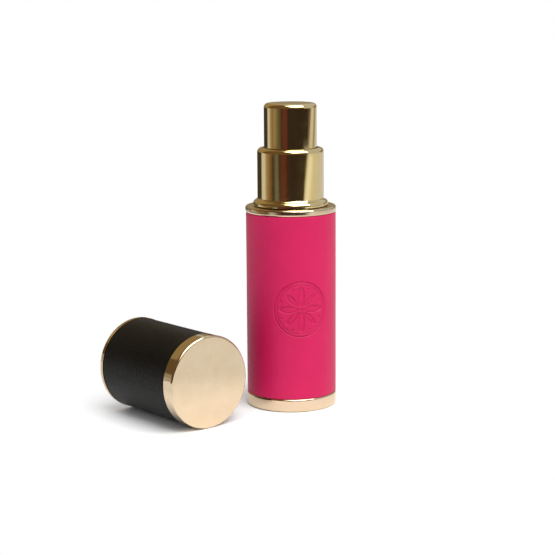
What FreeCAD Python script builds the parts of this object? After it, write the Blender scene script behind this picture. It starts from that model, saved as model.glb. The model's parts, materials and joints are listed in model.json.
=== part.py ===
import FreeCAD, Part
import math
import os

# Leather-covered purse atomiser with its push-on cap lying beside it.
# Origin: centre of the base's underside.  +Z runs up the bottle, and X runs
# along the lying cap, from its mouth to its closed end.  Millimetres.

V = FreeCAD.Vector

# ---- driving dimensions: outside -------------------------------------------
BODY_R = 13.0             # gold bands of bottle and cap
LEATHER_R = 12.9          # outside of both leather covers
TUBE_R = 12.1             # outside of both metal tubes, under the leather
BASE_H = 3.75             # gold band at the foot
BASE_EDGE_R = 0.5         # its rounding, under the leather's lower edge
FOOT_EDGE_R = 0.6
SHOULDER_Z = 56.1         # underside of the shoulder plate, top of the leather
PLATE_T = 1.85
PLATE_EDGE_R = 0.55       # its edge is all but half round
COLLAR_R = 9.5
COLLAR_TOP = 74.5
BEAD_R = 10.75            # flared foot of the collar
BEAD_Z = 58.6             # where the flare starts to curve in
BEAD_EDGE_R = 1.1
WAIST_Z = 60.2            # where the flare meets the collar's straight wall
BUTTON_R = 7.53
BUTTON_TOP = 87.1
EDGE_R = 1.2              # rounding of the button's and the collar's top edges
SOFT_EDGE = 0.2           # rounding of the cap bands' edges against the leather

# ---- driving dimensions: cap ------------------------------------------------
CAP_L = 34.0
CAP_BAND_L = 3.9          # side band of the closed end
CAP_RING_L = 1.25         # gold ring at the mouth
CAP_GROOVE_Z = 0.75       # fine line turned into that ring
CAP_GROOVE_W = 0.15
CAP_EDGE_R = 0.6          # rounding of the closed end
CAP_END_T = 0.8           # sheet of the closed end
SPIGOT_L = 3.0            # how far the mouth ring reaches into the cap's tube
CAP_BORE_R = 10.95        # slides over the collar's flared foot
CAP_END_X = 7.4           # closed end's face, when the cap lies down
CAP_AXIS_Y = -36.0

# ---- driving dimensions: inside ---------------------------------------------
TUBE_WALL = 0.6
TUBE_BORE_R = TUBE_R - TUBE_WALL
PLATE_TOP = SHOULDER_Z + PLATE_T
PLATE_HOLE_R = 8.2
SPIGOT_R = 10.6           # bore of the shoulder plate's spigot
SPIGOT_Z = SHOULDER_Z - 1.6
BASE_T = 1.0              # sheet of the foot
POCKET_Z = 3.2            # floor of the pocket that holds the vial's cushion
INSERT_TOP = 8.0
RETAINER_FOOT = 44.0
RETAINER_LIP_Z = 52.7     # meets the vial's shoulder
RETAINER_LIP_R = 8.6
VIAL_ROOM_R = 10.1
VIAL_R = 10.0
VIAL_WALL = 1.2
VIAL_BOTTOM = 4.2
VIAL_SHOULDER = 51.5      # where the vial starts to narrow
VIAL_FLOOR_T = 1.6
NECK_FOOT = 54.0
NECK_R = 6.9              # root of the neck's thread
NECK_BORE_R = 5.8
NECK_TOP = 65.6
THREAD_CREST_R = 7.5
THREAD_PITCH = 3.0
THREAD_TURNS = 1.4
THREAD_START = 59.4
GASKET_T = 0.8
FLANGE_T = 1.0
FLANGE_R = 7.3
FLANGE_Z = NECK_TOP + GASKET_T
HOUSING_R = 3.5
HOUSING_FOOT = 48.0
NIPPLE_R = 2.2            # lower end of the housing, which holds the dip tube
NIPPLE_TOP = 46.0
NIPPLE_END = 40.5
INLET_R = 0.6
CYLINDER_R = 2.6          # bore that the piston runs in
CYLINDER_FLOOR = 49.0
PISTON_Z = 57.5           # underside of the piston, and the stem's lower end
PISTON_H = 2.5
BALL_R = 1.0
BALL_Z = 47.0
BALL_ROOM_R = 1.3
STEM_R = 1.6
STEM_BORE_R = 0.7
STEM_TOP = 81.0
GLAND_R = 4.9
GLAND_T = 1.6
GLAND_FOOT = 60.2
WIRE_R = 0.22             # return spring
SPRING_TURNS = 6.5
DIP_R = 1.2
DIP_BORE_R = 0.75
DIP_TOP = 45.0
DIP_END = 6.9
NOZZLE_Z = 82.2
NOZZLE_R = 1.5
NOZZLE_DEPTH = 2.6
SHELL_T = 0.45            # sheet metal of button and collar
FIT = 0.05                # radial room where one piece runs in another


# ---- helpers ----------------------------------------------------------------
def cylinder(radius, z0, z1):
    return Part.makeCylinder(radius, z1 - z0, V(0, 0, z0))


def ring(inner, outer, z0, z1):
    return cylinder(outer, z0, z1).cut(cylinder(inner, z0 - 1, z1 + 1))


def cone(r0, r1, z0, z1):
    return Part.makeCone(r0, r1, z1 - z0, V(0, 0, z0))


def turned(outline):
    """A closed outline of (radius, height) points, revolved about Z."""
    points = [V(r, 0, z) for r, z in outline]
    wire = Part.makePolygon(points + points[:1])
    return Part.Face(wire).revolve(V(0, 0, 0), V(0, 0, 1), 360)


def rim(shape, radius, z):
    """The circular edges of this radius at this height."""
    found = []
    for edge in shape.Edges:
        curve = edge.Curve
        if not isinstance(curve, Part.Circle):
            continue
        if abs(curve.Radius - radius) < 1e-4 and abs(curve.Center.z - z) < 1e-4:
            found.append(edge)
    return found


def rounded(shape, radius, z, size):
    return shape.makeFillet(size, rim(shape, radius, z))


def helix_sweep(radius, pitch, height, z0, section):
    """A closed section at (radius, 0, z0), swept up a right-hand helix."""
    path = Part.makeHelix(pitch, height, radius)
    path.translate(V(0, 0, z0))
    shell = Part.BRepOffsetAPI.MakePipeShell(Part.Wire(path.Edges))
    shell.setFrenetMode(True)
    shell.add(Part.Wire(section.Edges))
    shell.build()
    shell.makeSolid()
    return shell.shape()


# ---- bottle -----------------------------------------------------------------
def base_shell():
    cup = cylinder(BODY_R, 0, BASE_H)
    cup = rounded(cup, BODY_R, 0, FOOT_EDGE_R)
    cup = rounded(cup, BODY_R, BASE_H, BASE_EDGE_R)
    return cup.cut(cylinder(TUBE_R, BASE_T, BASE_H + 1))


def base_insert():
    plug = cylinder(TUBE_BORE_R, BASE_T, INSERT_TOP)
    return plug.cut(cylinder(VIAL_ROOM_R, POCKET_Z, INSERT_TOP + 1))


def vial_cushion():
    return cylinder(VIAL_R - 0.2, POCKET_Z, VIAL_BOTTOM)


def case_tube():
    return ring(TUBE_BORE_R, TUBE_R, BASE_T, SHOULDER_Z)


def leather_sleeve():
    return ring(TUBE_R, LEATHER_R, BASE_H, SHOULDER_Z)


def shoulder_ring():
    plate = ring(PLATE_HOLE_R, BODY_R, SHOULDER_Z, PLATE_TOP)
    plate = rounded(plate, BODY_R, PLATE_TOP, PLATE_EDGE_R)
    plate = rounded(plate, BODY_R, SHOULDER_Z, PLATE_EDGE_R)
    spigot = ring(SPIGOT_R, TUBE_BORE_R, SPIGOT_Z, SHOULDER_Z)
    return plate.fuse(spigot).removeSplitter()


def vial_retainer():
    sleeve = ring(VIAL_ROOM_R, TUBE_BORE_R, RETAINER_FOOT, SPIGOT_Z)
    lip = ring(RETAINER_LIP_R, VIAL_ROOM_R, RETAINER_LIP_Z, SPIGOT_Z)
    return sleeve.fuse(lip).removeSplitter()


def neck_thread():
    inner = NECK_R - 0.15
    half_root = THREAD_PITCH / 4
    half_crest = THREAD_PITCH / 12
    outline = [
        V(inner, 0, -half_root),
        V(THREAD_CREST_R, 0, -half_crest),
        V(THREAD_CREST_R, 0, half_crest),
        V(inner, 0, half_root),
    ]
    section = Part.makePolygon(outline + outline[:1])
    section.translate(V(0, 0, THREAD_START))
    rise = THREAD_PITCH * THREAD_TURNS
    return helix_sweep(inner, THREAD_PITCH, rise, THREAD_START, section)


def vial():
    inner_r = VIAL_R - VIAL_WALL
    floor_z = VIAL_BOTTOM + VIAL_FLOOR_T
    outside = turned([
        (0, VIAL_BOTTOM),
        (VIAL_R, VIAL_BOTTOM),
        (VIAL_R, VIAL_SHOULDER),
        (NECK_R, NECK_FOOT),
        (NECK_R, NECK_TOP),
        (0, NECK_TOP),
    ])
    outside = rounded(outside, VIAL_R, VIAL_BOTTOM, VIAL_WALL)
    outside = rounded(outside, VIAL_R, VIAL_SHOULDER, 1.0)
    outside = outside.fuse(neck_thread())
    inside = turned([
        (0, floor_z),
        (inner_r, floor_z),
        (inner_r, VIAL_SHOULDER - 0.3),
        (NECK_BORE_R, NECK_FOOT - 0.8),
        (NECK_BORE_R, NECK_TOP + 1),
        (0, NECK_TOP + 1),
    ])
    inside = rounded(inside, inner_r, floor_z, 1.0)
    return outside.cut(inside)


# ---- pump, which stands on the vial's neck ----------------------------------
def neck_gasket():
    return ring(4.6, NECK_R - 0.1, NECK_TOP, FLANGE_Z)


def pump_housing():
    flange = cylinder(FLANGE_R, FLANGE_Z, FLANGE_Z + FLANGE_T)
    barrel = cylinder(HOUSING_R, HOUSING_FOOT, FLANGE_Z)
    taper = cone(NIPPLE_R, HOUSING_R, NIPPLE_TOP, HOUSING_FOOT)
    nipple = cylinder(NIPPLE_R, NIPPLE_END, NIPPLE_TOP)
    body = flange.fuse([barrel, taper, nipple]).removeSplitter()
    bores = [
        cylinder(CYLINDER_R, CYLINDER_FLOOR, FLANGE_Z + 2),
        cylinder(BALL_ROOM_R, BALL_Z, CYLINDER_FLOOR + 0.1),
        cone(INLET_R, BALL_ROOM_R, BALL_Z - 0.9, BALL_Z),
        cylinder(INLET_R, DIP_TOP, NIPPLE_TOP + 0.2),
        cylinder(DIP_R, NIPPLE_END - 1, DIP_TOP),
    ]
    return body.cut(bores)


def dip_tube():
    return ring(DIP_BORE_R, DIP_R, DIP_END, DIP_TOP)


def pump_gland():
    disc_z = FLANGE_Z + FLANGE_T
    disc_top = disc_z + GLAND_T
    disc = cylinder(GLAND_R, disc_z, disc_top)
    disc = rounded(disc, GLAND_R, disc_top, 0.5)
    guide = cylinder(CYLINDER_R, GLAND_FOOT, disc_z)
    return disc.fuse(guide).cut(cylinder(STEM_R + FIT, GLAND_FOOT - 1, disc_top + 1))


def return_spring():
    coil_r = CYLINDER_R - 0.25 - WIRE_R
    z0 = CYLINDER_FLOOR + WIRE_R
    z1 = PISTON_Z - WIRE_R
    circle = Part.Circle(V(coil_r, 0, z0), V(0, 1, 0), WIRE_R)
    section = Part.Wire([circle.toShape()])
    return helix_sweep(coil_r, (z1 - z0) / SPRING_TURNS, z1 - z0, z0, section)


def check_ball():
    return Part.makeSphere(BALL_R, V(0, 0, BALL_Z))


# ---- closure, which turns on the neck ----------------------------------------
def closure_insert():
    plate_z = FLANGE_Z + FLANGE_T + 0.1
    plate_t = 1.5
    outside = cylinder(COLLAR_R - SHELL_T - FIT, PLATE_TOP + 0.4, plate_z + plate_t)
    thread_room = cylinder(THREAD_CREST_R + 0.15, PLATE_TOP, plate_z)
    opening = cylinder(GLAND_R + 0.3, plate_z - 1, plate_z + plate_t + 1)
    return outside.cut([thread_room, opening])


def on_arc(radius, degrees):
    """From an arc's centre to its point at this angle above the horizontal."""
    angle = math.radians(degrees)
    return V(radius * math.cos(angle), 0, radius * math.sin(angle))


def collar_outline():
    """Outside of the collar, from its foot up to the middle of its top."""
    foot = PLATE_TOP + 0.1
    foot_edge = V(BEAD_R - 0.1, 0, foot)
    wall_foot = V(BEAD_R, 0, foot + 0.1)
    bead_start = V(BEAD_R, 0, BEAD_Z)
    bead_centre = V(BEAD_R - BEAD_EDGE_R, 0, BEAD_Z)
    bead_middle = bead_centre + on_arc(BEAD_EDGE_R, 35)
    bead_end = bead_centre + on_arc(BEAD_EDGE_R, 70)
    hollow = V(COLLAR_R + 0.16, 0, WAIST_Z - 0.33)
    waist = V(COLLAR_R, 0, WAIST_Z)
    corner = V(COLLAR_R - EDGE_R, 0, COLLAR_TOP - EDGE_R)
    side_end = V(COLLAR_R, 0, corner.z)
    round_middle = corner + on_arc(EDGE_R, 45)
    top_start = V(corner.x, 0, COLLAR_TOP)
    centre = V(0, 0, COLLAR_TOP)
    axis_foot = V(0, 0, foot)
    return Part.Wire([
        Part.makeLine(axis_foot, foot_edge),
        Part.makeLine(foot_edge, wall_foot),
        Part.makeLine(wall_foot, bead_start),
        Part.Arc(bead_start, bead_middle, bead_end).toShape(),
        Part.Arc(bead_end, hollow, waist).toShape(),
        Part.makeLine(waist, side_end),
        Part.Arc(side_end, round_middle, top_start).toShape(),
        Part.makeLine(top_start, centre),
        Part.makeLine(centre, axis_foot),
    ])


def collar_shell():
    blank = Part.Face(collar_outline()).revolve(V(0, 0, 0), V(0, 0, 1), 360)
    bore = cylinder(COLLAR_R - SHELL_T, PLATE_TOP - 1, COLLAR_TOP - SHELL_T)
    bore = rounded(bore, COLLAR_R - SHELL_T, COLLAR_TOP - SHELL_T, EDGE_R - SHELL_T)
    mouth = cylinder(BUTTON_R + 0.3, COLLAR_TOP - 3, COLLAR_TOP + 1)
    return blank.cut([bore, mouth])


# ---- button and what it pushes ------------------------------------------------
def nozzle_hole(radius, depth):
    """A bore of this depth into the button's back, which faces +Y."""
    return Part.makeCylinder(radius, depth + 1, V(0, BUTTON_R + 1, NOZZLE_Z), V(0, -1, 0))


def actuator_shell():
    skirt_z = COLLAR_TOP - 0.6
    cup = cylinder(BUTTON_R, skirt_z, BUTTON_TOP)
    cup = rounded(cup, BUTTON_R, BUTTON_TOP, EDGE_R)
    inside = cylinder(BUTTON_R - SHELL_T, skirt_z - 1, BUTTON_TOP - SHELL_T)
    inside = rounded(inside, BUTTON_R - SHELL_T, BUTTON_TOP - SHELL_T, EDGE_R - SHELL_T)
    return cup.cut([inside, nozzle_hole(NOZZLE_R + 0.1, 2)])


def actuator_core():
    low = COLLAR_TOP - 0.4
    top = BUTTON_TOP - SHELL_T
    radius = BUTTON_R - SHELL_T - 0.02
    block = cylinder(radius, low, top)
    block = rounded(block, radius, top, EDGE_R - SHELL_T)
    boss_r = STEM_R + 1.2
    hollow = ring(boss_r, radius - 0.9, low - 1, STEM_TOP - 1.5)
    mouth = cylinder(boss_r + 0.1, low - 1, low + 1.5)
    socket = cylinder(STEM_R, low - 1, STEM_TOP)
    riser = cylinder(STEM_BORE_R, STEM_TOP - 0.5, NOZZLE_Z + 0.5)
    channel = Part.makeCylinder(0.5, BUTTON_R, V(0, 0, NOZZLE_Z), V(0, 1, 0))
    pocket = nozzle_hole(NOZZLE_R, NOZZLE_DEPTH)
    return block.cut([hollow, mouth, socket, riser, channel, pocket])


def nozzle_insert():
    face = V(0, BUTTON_R - 0.15, NOZZLE_Z)
    back = V(0, BUTTON_R - NOZZLE_DEPTH, NOZZLE_Z)
    inward = V(0, -1, 0)
    body = Part.makeCylinder(NOZZLE_R, face.y - back.y, face, inward)
    dish = Part.makeCone(0.9, 0.3, 0.4, face, inward)
    orifice = Part.makeCylinder(0.15, 2, face, inward)
    swirl = Part.makeCylinder(0.8, 1.4, back, -inward)
    return body.cut([dish, orifice, swirl])


def stem():
    return ring(STEM_BORE_R, STEM_R, PISTON_Z, STEM_TOP)


def piston():
    outer = CYLINDER_R - FIT
    top = PISTON_Z + PISTON_H
    cup = ring(STEM_R, outer, PISTON_Z, top)
    return cup.cut(ring(STEM_R + 0.35, outer - 0.3, top - 1, top + 1))


# ---- cap, drawn upright with its mouth at z = 0 -------------------------------
def cap_end_shell():
    start = CAP_L - CAP_BAND_L
    cup = cylinder(BODY_R, start, CAP_L)
    cup = rounded(cup, BODY_R, CAP_L, CAP_EDGE_R)
    cup = rounded(cup, BODY_R, start, SOFT_EDGE)
    return cup.cut(cylinder(TUBE_R, start - 1, CAP_L - CAP_END_T))


def cap_tube():
    return ring(TUBE_BORE_R, TUBE_R, CAP_RING_L, CAP_L - CAP_END_T)


def cap_leather():
    return ring(TUBE_R, LEATHER_R, CAP_RING_L, CAP_L - CAP_BAND_L)


def cap_mouth_ring():
    band = ring(CAP_BORE_R, BODY_R, 0, CAP_RING_L)
    band = rounded(band, BODY_R, 0, SOFT_EDGE)
    band = band.cut(ring(BODY_R - 0.08, BODY_R + 1, CAP_GROOVE_Z, CAP_GROOVE_Z + CAP_GROOVE_W))
    spigot = ring(CAP_BORE_R, TUBE_BORE_R, CAP_RING_L, CAP_RING_L + SPIGOT_L)
    return band.fuse(spigot).removeSplitter()


def cap_liner():
    inside_end = CAP_L - 2.0
    cup = cylinder(TUBE_BORE_R, CAP_RING_L + SPIGOT_L, inside_end + 1.0)
    return cup.cut(cylinder(CAP_BORE_R, 0, inside_end))


def laid_down(shape):
    """The cap's pieces, turned to lie along X on the surface."""
    shape = shape.copy()
    shape.rotate(V(0, 0, 0), V(0, 1, 0), 90)
    shape.translate(V(CAP_END_X - CAP_L, CAP_AXIS_Y, BODY_R))
    return shape


UPRIGHT = [
    base_shell, base_insert, vial_cushion, case_tube, leather_sleeve, shoulder_ring,
    vial_retainer, vial, neck_gasket, pump_housing, dip_tube, pump_gland, return_spring,
    check_ball, closure_insert, collar_shell, actuator_shell, actuator_core,
    nozzle_insert, stem, piston,
]
LYING = [cap_end_shell, cap_tube, cap_leather, cap_mouth_ring, cap_liner]


def build():
    solids = {make.__name__: make() for make in UPRIGHT}
    for make in LYING:
        solids[make.__name__] = laid_down(make())
    return solids


os.makedirs("parts", exist_ok=True)
for name, shape in build().items():
    solid = shape.Solids[0] if len(shape.Solids) == 1 else shape
    solid.exportStep(f"parts/{name}.step")
    box = solid.BoundBox
    print(f"{name:16s} solids {len(shape.Solids)} valid {solid.isValid()} volume {solid.Volume:9.2f}"
          f"  z {box.ZMin:6.2f} to {box.ZMax:6.2f}")
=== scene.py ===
import bpy
import json
import math
import numpy as np
from mathutils import Matrix, Vector


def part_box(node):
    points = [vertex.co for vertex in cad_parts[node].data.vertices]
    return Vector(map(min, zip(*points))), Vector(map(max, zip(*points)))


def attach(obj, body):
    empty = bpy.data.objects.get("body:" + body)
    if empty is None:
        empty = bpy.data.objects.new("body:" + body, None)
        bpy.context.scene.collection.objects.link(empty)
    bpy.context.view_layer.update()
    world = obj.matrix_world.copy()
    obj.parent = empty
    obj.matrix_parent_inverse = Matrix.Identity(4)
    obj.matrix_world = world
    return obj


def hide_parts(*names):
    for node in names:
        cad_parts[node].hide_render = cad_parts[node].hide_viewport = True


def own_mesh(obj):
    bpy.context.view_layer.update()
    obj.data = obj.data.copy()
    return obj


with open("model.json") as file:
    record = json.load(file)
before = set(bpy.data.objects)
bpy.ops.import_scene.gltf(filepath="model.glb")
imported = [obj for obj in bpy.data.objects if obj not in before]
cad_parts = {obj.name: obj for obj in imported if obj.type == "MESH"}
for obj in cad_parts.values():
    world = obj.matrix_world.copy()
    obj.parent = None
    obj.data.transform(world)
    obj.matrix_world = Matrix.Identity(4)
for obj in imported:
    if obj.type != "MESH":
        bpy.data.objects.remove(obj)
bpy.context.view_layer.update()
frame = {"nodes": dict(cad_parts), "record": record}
MM = 0.001

# ---- camera: where it stands, measured round the bottle from the front (-Y) ----
VIEW_AZIMUTH = math.radians(49.2)
VIEW_DISTANCE = 0.4505
VIEW_HEIGHT = 0.1178
VIEW_DOWN = math.radians(10.19)
VIEW_PAN = math.radians(-0.50)
VIEW_ROLL = math.radians(-0.381)
VIEW_ANGLE = math.radians(19.87)
CAMERA_SIDE = VIEW_AZIMUTH - math.pi / 2     # the same direction, counted from +X

# ---- sizes of the leather covers ----------------------------------------------------
EDGE_ROLL = 0.28 * MM          # radius of a cover's rolled edges
COVER_GAP = 0.02 * MM          # between a cover and the tube under it
COVER_INSET = 0.02 * MM        # keeps a cover that swells inside its CAD solid
SEAM_WIDTH = 2.4 * MM          # the strip round the seam that gets the finest mesh
SEAM_DEPTH = 0.22 * MM
SEAM_STEP = 0.08 * MM
TOOLED_STEP = 0.14 * MM        # mesh under the rosette
PLAIN_STEP = 1.6 * MM          # mesh everywhere else
SWELL = 0.015 * MM             # how far a cover is out of round
CAP_SEAM = math.radians(20)

# ---- blind-tooled rosette on the pink leather -----------------------------------
ROSETTE_AZIMUTH = math.radians(12.6)      # to the right of the side that faces the camera
ROSETTE_Z = 29.8 * MM
ROSETTE_R = 8.2 * MM
ROSETTE_DEPTH = 0.27 * MM
ROSETTE_WINDOW = 1.08 * ROSETTE_R         # half the width of the finely meshed patch under it

# ---- the table, and the screens and dome that paint reflections round it -----------
SCREEN_R = 0.42                # screens that paint reflections in the pump
SCREEN_SPLIT = -16             # azimuth where the left screen meets the right one
SCREEN_STEP = 4                # degrees
FAR_SCREEN_R = 1.5
DOME_R = 2.4
DOME_STEP = 6                  # degrees
# how far the painted floor reflections reach
PAINTED_FLOOR_END = 2.6
TABLE_HALF = 8.0
TABLE_DROP = 0.02 * MM         # keeps the table's top off the underside of the foot
FADE_FROM, FADE_TO = 0.030, 0.062        # off the middle of bottle and cap


def around(azimuth, radius, z):
    """A point round the bottle, its azimuth counted from the camera's side, to the right."""
    angle = CAMERA_SIDE + azimuth
    return Vector((radius * math.cos(angle), radius * math.sin(angle), z))


# ---- materials -------------------------------------------------------------------
class Nodes:
    """A new material and short ways to add nodes to it."""

    def __init__(self, name):
        self.material = bpy.data.materials.new(name)
        self.material.use_nodes = True
        self.tree = self.material.node_tree
        self.shader = self.tree.nodes["Principled BSDF"]
        self.place = self.tree.nodes.new("ShaderNodeTexCoord").outputs["Object"]

    def add(self, kind, **values):
        node = self.tree.nodes.new(kind)
        for key, value in values.items():
            if key in node.inputs:
                node.inputs[key].default_value = value
            else:
                setattr(node, key, value)
        return node

    def link(self, out, into):
        self.tree.links.new(out, into)

    def stretched(self, scale):
        mapping = self.add("ShaderNodeMapping")
        mapping.inputs["Scale"].default_value = scale
        self.link(self.place, mapping.inputs["Vector"])
        return mapping.outputs["Vector"]

    def noise(self, scale, detail=3.0, roughness=0.5, distortion=0.0, place=None):
        node = self.add("ShaderNodeTexNoise", Scale=scale, Detail=detail)
        node.inputs["Roughness"].default_value = roughness
        node.inputs["Distortion"].default_value = distortion
        self.link(place or self.place, node.inputs["Vector"])
        return node.outputs["Fac"]

    def soft_cells(self, scale, smoothness, place):
        node = self.add("ShaderNodeTexVoronoi", feature="SMOOTH_F1")
        node.inputs["Scale"].default_value = scale
        node.inputs["Smoothness"].default_value = smoothness
        self.link(place, node.inputs["Vector"])
        return node.outputs["Distance"]

    def spread(self, value, low, high, start=0.0, end=1.0):
        node = self.add("ShaderNodeMapRange")
        node.inputs["From Min"].default_value = start
        node.inputs["From Max"].default_value = end
        node.inputs["To Min"].default_value = low
        node.inputs["To Max"].default_value = high
        self.link(value, node.inputs["Value"])
        return node.outputs["Result"]

    def colours(self, value, stops):
        node = self.add("ShaderNodeValToRGB")
        elements = node.color_ramp.elements
        ends = [elements[0], elements[1]]
        for end, (place, colour) in zip(ends, (stops[0], stops[-1])):
            end.position = place
            end.color = (*colour, 1.0)
        for place, colour in stops[1:-1]:
            elements.new(place).color = (*colour, 1.0)
        self.link(value, node.inputs["Fac"])
        return node.outputs["Color"]

    def maths(self, operation, first, second):
        node = self.add("ShaderNodeMath", operation=operation)
        for socket, value in zip(node.inputs, (first, second)):
            if isinstance(value, (int, float)):
                socket.default_value = value
            else:
                self.link(value, socket)
        return node.outputs[0]

    def bump(self, height, strength, distance, under=None):
        node = self.add("ShaderNodeBump", Strength=strength, Distance=distance)
        self.link(height, node.inputs["Height"])
        if under is not None:
            self.link(under, node.inputs["Normal"])
        return node.outputs["Normal"]

    def finish(self, colour=None, roughness=None, normal=None, **constants):
        linked = {"Base Color": colour, "Roughness": roughness, "Normal": normal}
        for socket, output in linked.items():
            if output is not None:
                self.link(output, self.shader.inputs[socket])
        for name, value in constants.items():
            self.shader.inputs[name.replace("_", " ")].default_value = value
        return self.material


def polished_gold(name, light, deep, smooth, worn):
    """Mirror-polished plating: faint smears, hairline scratches and a surface not quite true."""
    n = Nodes(name)
    smears = n.noise(260, 4, 0.6, 0.4)
    scratches = n.noise(900, 2, 0.5, 0.0, n.stretched((1.0, 1.0, 14.0)))
    colour = n.colours(smears, [(0.30, deep), (0.70, light)])
    rough = n.spread(n.maths("MULTIPLY", smears, scratches), smooth, worn, 0.12, 0.40)
    wave = n.bump(n.noise(95, 1, 0.4), 0.10, 0.00012)
    hair = n.bump(scratches, 0.018, 0.00002, wave)
    return n.finish(colour, rough, hair, Metallic=1.0)


def leather(name, valleys, mid, crowns, grain, depth, roughness, specular):
    """Grained leather: pebbles with creases between them, fine pores and slow colour drift."""
    n = Nodes(name)
    warp = n.add("ShaderNodeVectorMath", operation="MULTIPLY_ADD")
    wander = n.add("ShaderNodeTexNoise", Scale=grain * 0.6, Detail=2.0)
    n.link(n.place, wander.inputs["Vector"])
    n.link(wander.outputs["Color"], warp.inputs[0])
    warp.inputs[1].default_value = (0.25 / grain,) * 3
    n.link(n.place, warp.inputs[2])
    pebbles = n.soft_cells(grain, 0.5, warp.outputs["Vector"])
    fine = n.noise(grain * 2.6, 4, 0.65, 0.3)
    drift = n.noise(60, 3, 0.6)
    tone = n.maths("ADD", n.maths("MULTIPLY", fine, 0.55), n.maths("MULTIPLY", drift, 0.45))
    colour = n.colours(tone, [(0.34, valleys), (0.50, mid), (0.66, crowns)])
    rough = n.spread(n.maths("ADD", pebbles, fine), roughness - 0.07, roughness + 0.09, 0.3, 1.2)
    skin = n.bump(pebbles, 0.55, depth)
    pores = n.bump(fine, 0.35, depth * 0.5, skin)
    return n.finish(colour, rough, pores, Specular_IOR_Level=specular, Sheen_Weight=0.02,
                    Sheen_Roughness=0.4)


def moulded(name, low, high, roughness, grain=3200.0):
    """Moulded plastic or rubber: a faint spark-eroded texture and slight cloudiness."""
    n = Nodes(name)
    cloud = n.noise(140, 3, 0.5)
    texture = n.noise(grain, 3, 0.6)
    colour = n.colours(cloud, [(0.3, low), (0.7, high)])
    rough = n.spread(texture, roughness - 0.06, roughness + 0.08, 0.3, 0.7)
    return n.finish(colour, rough, n.bump(texture, 0.12, 0.00002), Subsurface_Weight=0.05,
                    Subsurface_Scale=0.001)


def drawn_metal(name, low, high, roughness):
    """Drawn aluminium or wire: fine lines along the draw."""
    n = Nodes(name)
    lines = n.noise(2600, 3, 0.6, 0.0, n.stretched((1.0, 1.0, 0.06)))
    colour = n.colours(lines, [(0.3, low), (0.7, high)])
    rough = n.spread(lines, roughness - 0.08, roughness + 0.10, 0.3, 0.7)
    return n.finish(colour, rough, n.bump(lines, 0.15, 0.00002), Metallic=1.0)


def clear(name, tint, roughness, ior):
    """Clear glass or natural plastic: all but colourless, with faint flow lines."""
    n = Nodes(name)
    flow = n.noise(120, 2, 0.4, 0.8)
    colour = n.colours(flow, [(0.3, tint), (0.7, (1.0, 1.0, 1.0))])
    rough = n.spread(flow, roughness, roughness + 0.03, 0.3, 0.7)
    return n.finish(colour, rough, n.bump(flow, 0.04, 0.00005), Transmission_Weight=1.0, IOR=ior)


MATERIALS = {
    "polished_gold": polished_gold("pump_gold", (0.80, 0.66, 0.36), (0.76, 0.61, 0.32), 0.035, 0.085),
    "gold_bands": polished_gold("band_gold", (0.71, 0.575, 0.40), (0.67, 0.535, 0.36), 0.05, 0.13),
    "pink_leather": leather("pink_leather", (0.47, 0.004, 0.068), (0.54, 0.006, 0.082),
                            (0.60, 0.008, 0.094), 2900.0, 0.000025, 0.47, 0.27),
    "black_leather": leather("black_leather", (0.002, 0.0018, 0.0013), (0.0034, 0.003, 0.0023),
                             (0.010, 0.0088, 0.007), 1700.0, 0.00012, 0.36, 0.105),
    "clear_glass": clear("vial_glass", (0.965, 0.985, 0.98), 0.0, 1.46),
    "clear_plastic": clear("natural_tube", (0.94, 0.955, 0.95), 0.18, 1.50),
    "white_plastic": moulded("white_moulding", (0.78, 0.78, 0.76), (0.86, 0.86, 0.84), 0.38),
    "black_plastic": moulded("black_moulding", (0.012, 0.012, 0.013), (0.022, 0.022, 0.023), 0.42),
    "grey_rubber": moulded("grey_seal", (0.20, 0.205, 0.21), (0.26, 0.265, 0.27), 0.62, 1800.0),
    "bare_aluminium": drawn_metal("drawn_aluminium", (0.74, 0.74, 0.75), (0.84, 0.84, 0.85), 0.32),
    "spring_steel": drawn_metal("spring_wire", (0.58, 0.58, 0.60), (0.72, 0.72, 0.74), 0.26),
}


def dress_cad_nodes():
    """Every CAD node takes the detailed material of its own slot."""
    for part in frame["record"]["subparts"]:
        node = frame["nodes"][part["node"]]
        for place in node.material_slots:
            place.material = MATERIALS[part["material_slot"]]


# ---- mesh helpers ------------------------------------------------------------------
def mesh_object(name, points, faces, material, smooth=True):
    mesh = bpy.data.meshes.new(name)
    mesh.from_pydata([tuple(p) for p in points], [], faces)
    mesh.materials.append(material)
    mesh.polygons.foreach_set("use_smooth", [smooth] * len(mesh.polygons))
    mesh.update()
    piece = bpy.data.objects.new(name, mesh)
    bpy.context.scene.collection.objects.link(piece)
    return piece


def grid(rows, columns, closed=False):
    """Quads over a grid of points; a closed one joins its last row and column to the first."""
    faces = []
    for i in range(rows if closed else rows - 1):
        for j in range(columns if closed else columns - 1):
            up, over = (i + 1) % rows, (j + 1) % columns
            faces.append((i * columns + j, i * columns + over,
                          up * columns + over, up * columns + j))
    return faces


def steps(start, end, size):
    count = max(1, round((end - start) / size))
    return list(np.linspace(start, end, count, endpoint=False))


# ---- leather covers -------------------------------------------------------------------
def soft_line(distance, half_width, blur):
    """1 on a line, falling smoothly to 0 outside it."""
    t = np.clip((half_width + blur - np.abs(distance)) / blur, 0.0, 1.0)
    return t * t * (3 - 2 * t)


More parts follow.
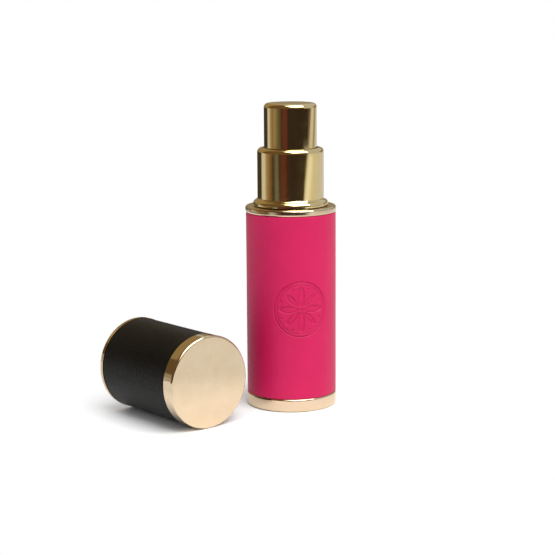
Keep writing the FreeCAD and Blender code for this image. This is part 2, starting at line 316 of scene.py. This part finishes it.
def rosette(u, v):
    """How far the tooled rosette presses in, 0 to 1, at (u, v) from its centre."""
    u, v = u / ROSETTE_R, v / ROSETTE_R
    radius, angle = np.hypot(u, v), np.arctan2(v, u)
    pressed = soft_line(radius - 0.955, 0.014, 0.016)
    pressed = np.maximum(pressed, 0.7 * soft_line(radius - 0.86, 0.007, 0.014))
    for k in range(8):
        turn = k * math.pi / 4
        along = u * math.cos(turn) + v * math.sin(turn) - 0.44
        across = -u * math.sin(turn) + v * math.cos(turn)
        long, wide = (0.30, 0.105) if k % 2 == 0 else (0.24, 0.075)
        oval = np.hypot(along / long, across / wide)
        edge = (oval - 1.0) * wide
        pressed = np.maximum(pressed, soft_line(edge, 0.010, 0.018))
        pressed = np.maximum(pressed, 0.45 * (edge < 0))
        beside = (angle - turn - math.pi / 8 + math.pi) % (2 * math.pi) - math.pi
        dot = np.hypot(radius - 0.76, radius * np.abs(beside))
        pressed = np.maximum(pressed, soft_line(dot, 0.018, 0.016))
    return np.maximum(pressed, soft_line(radius, 0.055, 0.02))


def cover_angles(outer, seam, tooled):
    """Where the mesh's columns stand: fine under the rosette, finest at the seam."""
    seam_half = SEAM_WIDTH / 2 / outer
    if not tooled:
        angles = steps(seam - seam_half, seam + seam_half, SEAM_STEP / outer)
        angles += steps(seam + seam_half, seam - seam_half + 2 * math.pi, PLAIN_STEP / outer)
        return np.array(angles)
    centre, reach = tooled[0], ROSETTE_WINDOW / outer
    after, before = centre + reach, centre - reach + 2 * math.pi
    seam_low = seam - seam_half
    if seam_low <= after:
        seam_low += 2 * math.pi
    seam_high = seam_low + 2 * seam_half
    angles = steps(centre - reach, after, TOOLED_STEP / outer)
    angles += steps(after, seam_low, PLAIN_STEP / outer)
    angles += steps(seam_low, seam_high, SEAM_STEP / outer)
    angles += steps(seam_high, before, PLAIN_STEP / outer)
    return np.array(angles)


def cover_profile(outer, inner, length, tooled):
    """The cover's section as (radius, height): up its outside, over the edge, down its inside."""
    rolled = [math.radians(a) for a in range(0, 90, 15)]
    core, low, high = outer - EDGE_ROLL, EDGE_ROLL, length - EDGE_ROLL
    if tooled:
        patch_low, patch_high = tooled[1] - ROSETTE_WINDOW, tooled[1] + ROSETTE_WINDOW
        heights = steps(low, patch_low, PLAIN_STEP)
        heights += steps(patch_low, patch_high, TOOLED_STEP)
        heights += steps(patch_high, high, PLAIN_STEP)
    else:
        heights = steps(low, high, PLAIN_STEP)
    rows = [(core + EDGE_ROLL * math.sin(a), low - EDGE_ROLL * math.cos(a)) for a in rolled]
    rows += [(outer, z) for z in heights]
    rows += [(core + EDGE_ROLL * math.cos(a), high + EDGE_ROLL * math.sin(a)) for a in rolled]
    return rows + [(core, length), (inner, length), (inner, length / 2), (inner, 0.0)]


def wrapped_leather(name, material, outer, inner, length, seam, tooled=None):
    """A leather cover in its own frame, standing on z = 0: rolled edges, a butt seam, and
    a place (azimuth, height) for the rosette."""
    angles = cover_angles(outer, seam, tooled)
    rows = cover_profile(outer, inner, length, tooled)
    radii = np.array([r for r, _ in rows])[:, None] * np.ones(len(angles))[None, :]
    level = np.array([z for _, z in rows])[:, None] * np.ones(len(angles))[None, :]
    on_outside = radii > outer - EDGE_ROLL * 0.9
    gap = (angles - seam + math.pi) % (2 * math.pi) - math.pi
    groove = SEAM_DEPTH * soft_line(gap * outer, 0.03 * MM, 0.16 * MM)
    ripple = np.sin(3 * angles[None, :] + 140.0 * level)
    swell = SWELL * ripple * np.sin(math.pi * level / length)
    radii = radii + on_outside * (swell - COVER_INSET - groove[None, :])
    if tooled:
        u = ((angles - tooled[0] + math.pi) % (2 * math.pi) - math.pi)[None, :] * outer
        v = level - tooled[1]
        inside = (np.abs(u) < ROSETTE_WINDOW) & (np.abs(v) < ROSETTE_WINDOW) & on_outside
        radii = radii - ROSETTE_DEPTH * rosette(u * np.ones_like(v), v) * inside
    x, y = radii * np.cos(angles), radii * np.sin(angles)
    points = np.stack([x, y, level], -1).reshape(-1, 3)
    return mesh_object(name, points, grid(len(rows), len(angles), closed=True), material)


def body_leather():
    low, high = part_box("leather_sleeve")
    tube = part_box("case_tube")[1].x
    tooled = (CAMERA_SIDE + ROSETTE_AZIMUTH, ROSETTE_Z - low.z)
    cover = wrapped_leather("pink_cover", MATERIALS["pink_leather"], high.x, tube + COVER_GAP,
                            high.z - low.z, tooled[0] + math.pi, tooled)
    cover.data.transform(Matrix.Translation((0, 0, low.z)))
    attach(cover, "bottle")
    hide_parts("leather_sleeve")


def cap_frame():
    """The lying cap's own frame: its mouth at z = 0, +Z towards its closed end."""
    low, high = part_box("cap_mouth_ring")
    place = Vector((low.x, (low.y + high.y) / 2, (low.z + high.z) / 2))
    return Matrix.Translation(place) @ Matrix.Rotation(math.pi / 2, 4, "Y")


def cap_leather():
    low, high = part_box("cap_leather")
    tube_low, tube_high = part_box("cap_tube")
    outer = (high.y - low.y) / 2
    inner = (tube_high.y - tube_low.y) / 2
    length = high.x - low.x
    cover = wrapped_leather("black_cover", MATERIALS["black_leather"], outer, inner + COVER_GAP,
                            length, CAP_SEAM)
    start = low.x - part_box("cap_mouth_ring")[0].x
    cover.data.transform(cap_frame() @ Matrix.Translation((0, 0, start)))
    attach(cover, "cap")
    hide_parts("cap_leather")


# ---- return spring --------------------------------------------------------------------
def return_spring():
    """A coil whose end turns lie close and flat."""
    low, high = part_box("return_spring")
    wire = 0.22 * MM                       # radius of the wire
    coil = high.x - wire
    turns, end_turns = 7.0, 0.9
    ring_points, per_turn = 10, 40
    pitch = 2.1 * wire                     # of the closed end turns
    count = int(turns * per_turn)
    t = np.linspace(0.0, 1.0, count + 1)
    free = np.clip((t * turns - end_turns) / (turns - 2 * end_turns), 0.0, 1.0)
    first = np.clip(t * turns, 0, end_turns)
    last = np.clip(t * turns - turns + end_turns, 0, end_turns)
    closed = pitch * (first + last)
    span = (high.z - low.z) - 2 * wire
    z = low.z + wire + closed + free * (span - closed[-1])
    angle = 2 * math.pi * turns * t
    points = []
    for a, height in zip(angle, z):
        for b in np.linspace(0, 2 * math.pi, ring_points, endpoint=False):
            r = coil + wire * math.cos(b)
            points.append((r * math.cos(a), r * math.sin(a), height + wire * math.sin(b)))
    faces = []
    for i in range(count):
        for j in range(ring_points):
            k = (j + 1) % ring_points
            faces.append((i * ring_points + j, (i + 1) * ring_points + j,
                          (i + 1) * ring_points + k, i * ring_points + k))
    faces.append(tuple(range(ring_points)))
    faces.append(tuple(count * ring_points + j for j in reversed(range(ring_points))))
    spring = mesh_object("coil_spring", points, faces, MATERIALS["spring_steel"])
    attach(spring, "pump")
    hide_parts("return_spring")
    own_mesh(spring)


# ---- studio ------------------------------------------------------------------------------
# Emission for cards that show painted reflections; none of them is a lamp.
def glow(name, colour):
    material = bpy.data.materials.new(name)
    material.use_nodes = True
    tree = material.node_tree
    tree.nodes.remove(tree.nodes["Principled BSDF"])
    emission = tree.nodes.new("ShaderNodeEmission")
    emission.inputs["Color"].default_value = (*colour, 1.0)
    tree.links.new(emission.outputs[0], tree.nodes["Material Output"].inputs["Surface"])
    return material


def reflection_only(card):
    """A card that only polished surfaces see: a painted reflection."""
    card.visible_camera = False
    card.visible_diffuse = False
    card.visible_transmission = False
    card.visible_shadow = False


def painted_reflection_screen(name, material, start, end, radius, heights, lean=0.0):
    """A curved screen round the bottle from azimuth start to end; it shows a painted reflection. U
    follows the azimuth and V is the height in metres. Stretches beyond lean_from lean by that many
    degrees per millimetre, turning about lean_height; the lean sets in over lean_over degrees."""
    lean_height, lean_from, lean_over = 21.0, 30.0, 20.0
    azimuths = np.linspace(start, end, 1 + round((end - start) / SCREEN_STEP))
    points, spots = [], []
    for z in heights:
        for azimuth in azimuths:
            points.append(around(math.radians(azimuth), radius, z))
            part = min(max((azimuth - lean_from) / lean_over, 0.0), 1.0)
            shift = lean * (z / MM - lean_height) * part
            spots.append(((azimuth - shift + 180.0) / 360.0, z))
    faces = grid(len(heights), len(azimuths))
    screen = mesh_object(name, points, faces, material, smooth=False)
    layer = screen.data.uv_layers.new(name="round")
    for loop in screen.data.loops:
        layer.data[loop.index].uv = spots[loop.vertex_index]
    reflection_only(screen)


# Colours of the painted reflections that the screens show in the polished pump.
BLACK = (0.038, 0.026, 0.021)
SHADE = (0.058, 0.045, 0.026)
BROWN = (0.055, 0.030, 0.024)
OLIVE = (0.190, 0.140, 0.085)
GREEN = (0.200, 0.185, 0.150)
KHAKI = (0.340, 0.300, 0.190)
TAN = (0.420, 0.350, 0.240)
ORANGE = (0.320, 0.190, 0.090)
RED = (0.145, 0.040, 0.028)
STRAW = (0.800, 0.760, 0.520)
CREAM = (0.720, 0.720, 0.740)
WHITE = (1.050, 1.080, 1.200)

# Painted reflections for the polished pump, in broad stretches as (azimuth, colour), blending
# from each to the next: the button sees the upper ones and the collar the lower ones.
UPPER_REFLECTION = [(-180, SHADE), (-121, SHADE), (-113, CREAM), (-104, CREAM), (-97, TAN),
              (-84, ORANGE), (-72, KHAKI), (-56, OLIVE), (-38, SHADE), (-30, RED), (-18, RED),
              (-9, BLACK), (60, BLACK), (74, OLIVE), (84, CREAM), (97, CREAM), (105, TAN),
              (114, TAN), (126, CREAM), (180, CREAM)]
LOWER_REFLECTION = [(-180, SHADE), (-122, SHADE), (-115, CREAM), (-100, CREAM), (-92, TAN),
              (-80, ORANGE), (-62, SHADE), (-48, GREEN), (-38, SHADE), (-28, RED), (-19, RED),
              (-10, BROWN), (10, BLACK), (50, SHADE), (56, STRAW), (66, WHITE), (84, STRAW),
              (106, CREAM), (180, CREAM)]
REFLECTION_CHANGE = (32.5 * MM, 35 * MM)       # the heights between which one list gives way to the other


def painted_pump_reflections():
    """Painted reflections in bright and dim stretches, which only polished metal sees."""
    colour_a, colour_b, colour_out = 6, 7, 2      # a Mix node's sockets when it mixes colours
    reflection_paint = Nodes("painted_reflection_screen")
    spot = reflection_paint.add("ShaderNodeSeparateXYZ")
    reflection_paint.link(reflection_paint.add("ShaderNodeTexCoord").outputs["UV"], spot.inputs[0])
    low, high = (reflection_paint.colours(spot.outputs["X"], [((a + 180) / 360, c) for a, c in strip])
                 for strip in (LOWER_REFLECTION, UPPER_REFLECTION))
    blend = reflection_paint.add("ShaderNodeMix", data_type="RGBA")
    reflection_paint.link(reflection_paint.spread(spot.outputs["Y"], 0.0, 1.0, *REFLECTION_CHANGE), blend.inputs["Factor"])
    reflection_paint.link(low, blend.inputs[colour_a])
    reflection_paint.link(high, blend.inputs[colour_b])
    shine = reflection_paint.add("ShaderNodeEmission")
    reflection_paint.link(blend.outputs[colour_out], shine.inputs["Color"])
    reflection_paint.link(shine.outputs[0], reflection_paint.tree.nodes["Material Output"].inputs["Surface"])
    heights = [0.0, 0.01, 0.02, 0.03, 0.04, 0.05, 0.06, 0.075]
    painted_reflection_screen("painted_reflection_left", reflection_paint.material, -180, SCREEN_SPLIT, SCREEN_R, heights)
    painted_reflection_screen("painted_reflection_right", reflection_paint.material, SCREEN_SPLIT, 180, SCREEN_R, heights, lean=0.65)


def painted_floor_reflection(name, corners, colour):
    """A painted reflection of a dim floor beyond an edge of the table, seen only in the polished
    metal.
    """
    lift = Vector((0, 0, 0.4 * MM))
    toward, right = around(0, 1, 0), around(math.pi / 2, 1, 0)
    points = [toward * near + right * aside + lift for near, aside in corners]
    reflection_only(mesh_object(name, points, [(0, 1, 2, 3)], glow(name, colour), smooth=False))


def floor_reflection_cards():
    """Painted floor reflections beyond the table's front and left edges; corners as (towards the
    camera, to the right).
    """
    far = PAINTED_FLOOR_END
    front = [(0.30, -far), (0.33, far), (far, far), (far, -far)]
    left = [(0.30, -0.33), (0.30, -far), (-far, -far), (-far, -0.40)]
    painted_floor_reflection("painted_dark_front", front, (0.034, 0.023, 0.018))
    painted_floor_reflection("painted_brown_left", left, (0.17, 0.095, 0.04))


def painted_reflection_dome(name, start, end, colour):
    """A dome beyond the table, from azimuth start to end, that paints reflections of walls and
    ceiling.
    """
    azimuths = np.radians(np.arange(start, end + 1, DOME_STEP))
    elevations = np.radians(np.linspace(-4, 74, 14))
    points = [around(a, DOME_R * math.cos(e), DOME_R * math.sin(e))
              for e in elevations for a in azimuths]
    faces = grid(len(elevations), len(azimuths))
    reflection_only(mesh_object(name, points, faces, glow(name, colour)))


def softbox(name, azimuth, elevation, distance, width, height, power):
    """A rectangular lamp aimed about halfway up the bottle."""
    aim = Vector((0, 0, 0.04))
    light = bpy.data.lights.new(name, "AREA")
    light.shape = "RECTANGLE"
    light.size = width
    light.size_y = height
    light.energy = power
    lamp = bpy.data.objects.new(name, light)
    bpy.context.scene.collection.objects.link(lamp)
    flat = distance * math.cos(math.radians(elevation))
    place = around(math.radians(azimuth), flat, distance * math.sin(math.radians(elevation)))
    lamp.location = place
    lamp.rotation_euler = (place - aim).to_track_quat("Z", "Y").to_euler()


def white_table():
    """A plain white table. Round the object, it fades into an evenly white backdrop, which
    takes no shadow."""
    paper = Nodes("white_table")
    fibres = paper.noise(40, 3, 0.5)
    shade = paper.colours(fibres, [(0.0, (0.91, 0.91, 0.91)), (1.0, (0.93, 0.93, 0.93))])
    paper.finish(shade, None, None, Roughness=0.9, Specular_IOR_Level=0.1)
    reach = paper.add("ShaderNodeVectorMath", operation="DISTANCE")
    paper.link(paper.place, reach.inputs[0])
    reach.inputs[1].default_value = (0.0, -22 * MM, 0.0)      # between the bottle and its cap
    fade = paper.spread(reach.outputs["Value"], 0.0, 1.0, FADE_FROM, FADE_TO)
    backdrop = paper.add("ShaderNodeEmission", Strength=1.0)
    blend = paper.add("ShaderNodeMixShader")
    paper.link(fade, blend.inputs[0])
    paper.link(paper.shader.outputs[0], blend.inputs[1])
    paper.link(backdrop.outputs[0], blend.inputs[2])
    paper.link(blend.outputs[0], paper.tree.nodes["Material Output"].inputs["Surface"])
    half = TABLE_HALF
    corners = [(-half, -half, 0), (half, -half, 0), (half, half, 0), (-half, half, 0)]
    table = mesh_object("table", corners, [(0, 1, 2, 3)], paper.material, smooth=False)
    table.location.z = -TABLE_DROP


def white_world(light, seen):
    """Soft white light from all round, and a pure white backdrop behind the table."""
    world = bpy.data.worlds.new("studio")
    world.use_nodes = True
    tree = world.node_tree
    path = tree.nodes.new("ShaderNodeLightPath")
    strength = tree.nodes.new("ShaderNodeMapRange")
    strength.inputs["To Min"].default_value = light
    strength.inputs["To Max"].default_value = seen
    tree.links.new(path.outputs["Is Camera Ray"], strength.inputs["Value"])
    background = tree.nodes["Background"]
    background.inputs["Color"].default_value = (1, 1, 1, 1)
    tree.links.new(strength.outputs["Result"], background.inputs["Strength"])
    bpy.context.scene.world = world


def studio():
    bpy.context.scene.view_settings.view_transform = "Standard"
    white_world(0.60, 1.0)
    white_table()
    # The next cards paint reflections in the polished metal; only the softbox after them is a lamp.
    floor_reflection_cards()
    painted_reflection_dome("painted_dim_dome", -112, 62, (0.16, 0.10, 0.045))
    painted_reflection_dome("painted_warm_dome", -172, -112, (0.37, 0.27, 0.13))
    painted_pump_reflections()
    # A screen on the far side, away from the camera, that paints a reflection in the polished metal.
    painted_far_reflection = glow("painted_far_reflection", (0.32, 0.26, 0.15))
    painted_reflection_screen("painted_far_reflection", painted_far_reflection, 120, 240, FAR_SCREEN_R, [0.05, 0.5])
    softbox("key", 37, 60, distance=0.9, width=0.85, height=0.85, power=10.0)


def camera():
    data = bpy.data.cameras.new("camera")
    data.sensor_fit = "HORIZONTAL"
    data.angle = VIEW_ANGLE
    data.clip_start = 0.01
    eye = bpy.data.objects.new("camera", data)
    bpy.context.scene.collection.objects.link(eye)
    place = around(0, VIEW_DISTANCE, VIEW_HEIGHT)
    ahead = -around(-VIEW_PAN, 1, 0)
    ahead = ahead * math.cos(VIEW_DOWN) - Vector((0, 0, math.sin(VIEW_DOWN)))
    side = ahead.cross(Vector((0, 0, 1))).normalized()
    up = side.cross(ahead)
    across = side * math.cos(VIEW_ROLL) + up * math.sin(VIEW_ROLL)
    upright = up * math.cos(VIEW_ROLL) - side * math.sin(VIEW_ROLL)
    axes = Matrix((across, upright, -ahead)).transposed()
    eye.matrix_world = Matrix.Translation(place) @ axes.to_4x4()
    bpy.context.scene.camera = eye


camera()
dress_cad_nodes()
body_leather()
cap_leather()
return_spring()
studio()
